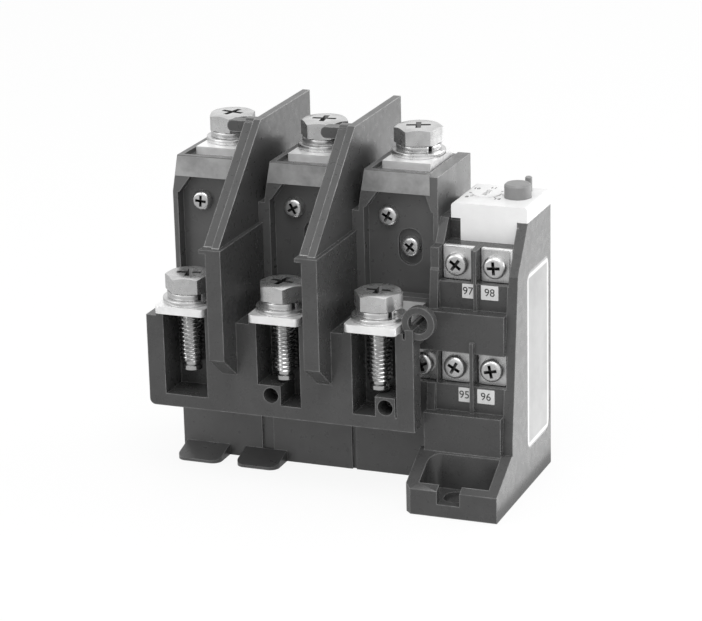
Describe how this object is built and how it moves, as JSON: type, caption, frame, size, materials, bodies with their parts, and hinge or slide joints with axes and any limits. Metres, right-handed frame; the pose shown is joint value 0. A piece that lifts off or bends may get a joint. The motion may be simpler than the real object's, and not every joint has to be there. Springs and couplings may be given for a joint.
{
  "type": "thermal overload relay",
  "caption": "Three-pole thermal overload relay with hex-bolt line and load terminals, tall phase barriers, stepped auxiliary terminals, white control cover and slotted foot.",
  "frame": {"origin": "centre of the bounding box on the mounting face", "axes": "+X across the poles towards the auxiliary terminals, +Y from the load side to the line side, +Z away from the mounting face"},
  "size_m": [0.0856, 0.0574, 0.0815],
  "materials": {
    "black_plastic": "moulded satin",
    "white_plastic": "moulded satin",
    "grey_plastic": "moulded satin",
    "pale_plate": "satin film",
    "plated_steel": "zinc plated",
    "tinned_plate": "tin plated",
    "bimetal": "rolled strip",
    "heater_alloy": "rolled ribbon",
    "contact_brass": "rolled strip"
  },
  "bodies": {
    "housing": {"mounting_base": "black_plastic", "load_block": "black_plastic", "line_block": "black_plastic", "phase_barrier_1": "black_plastic", "phase_barrier_2": "black_plastic", "control_case": "black_plastic", "dial_cover": "white_plastic", "side_plate": "pale_plate", "number_tiles": "pale_plate", "line_bolts": "plated_steel", "load_bolts": "plated_steel", "spring_washers": "plated_steel", "flat_washers": "plated_steel", "heater_screws": "plated_steel", "block_screws": "plated_steel", "aux_screws": "plated_steel", "aux_washers": "plated_steel", "lever_pin": "plated_steel", "reset_spring": "plated_steel", "aux_plates": "tinned_plate", "bimetal_strips": "bimetal", "heater_windings": "heater_alloy", "fixed_contacts": "contact_brass", "line_plate_1": "tinned_plate", "load_plate_1": "tinned_plate", "line_plate_2": "tinned_plate", "load_plate_2": "tinned_plate", "line_plate_3": "tinned_plate", "load_plate_3": "tinned_plate"},
    "dial": {"setting_dial": "white_plastic", "adjusting_cam": "grey_plastic"},
    "button": {"reset_button": "grey_plastic"},
    "rod": {"test_rod": "grey_plastic"},
    "bar": {"push_bar": "grey_plastic"},
    "lever": {"trip_lever": "grey_plastic"},
    "contact": {"contact_carrier": "grey_plastic", "moving_contact": "contact_brass"}
  },
  "joints": [
    {"name": "setting_dial_turn", "type": "hinge", "parent": "housing", "child": "dial", "pos_m": [0.0302, 0.00635, 0.066], "axis": [0, 0, 1], "range_deg": [-135, 135]},
    {"name": "reset_button_press", "type": "slide", "parent": "housing", "child": "button", "axis": [0, 0, -1], "range_m": [0, 0.002], "stiffness_N_per_m": 300, "springref_m": -0.002, "deforming": ["reset_spring"]},
    {"name": "test_rod_press", "type": "slide", "parent": "housing", "child": "rod", "axis": [0, 0, -1], "range_m": [0, 0.0015], "stiffness_N_per_m": 200, "springref_m": -0.002},
    {"name": "push_bar_slide", "type": "slide", "parent": "housing", "child": "bar", "axis": [1, 0, 0], "range_m": [0, 0.0012], "stiffness_N_per_m": 200, "springref_m": -0.001},
    {"name": "trip_lever_turn", "type": "hinge", "parent": "housing", "child": "lever", "pos_m": [0.031, 0, 0.026], "axis": [0, 1, 0], "range_deg": [-4.5, 0]},
    {"name": "contact_slide", "type": "slide", "parent": "housing", "child": "contact", "axis": [-1, 0, 0], "range_m": [0, 0.001]}
  ],
  "couplings": [
    {"joint": "trip_lever_turn", "follows": "push_bar_slide", "rad_per_m": -62.5},
    {"joint": "contact_slide", "follows": "push_bar_slide", "ratio": 0.8}
  ]
}
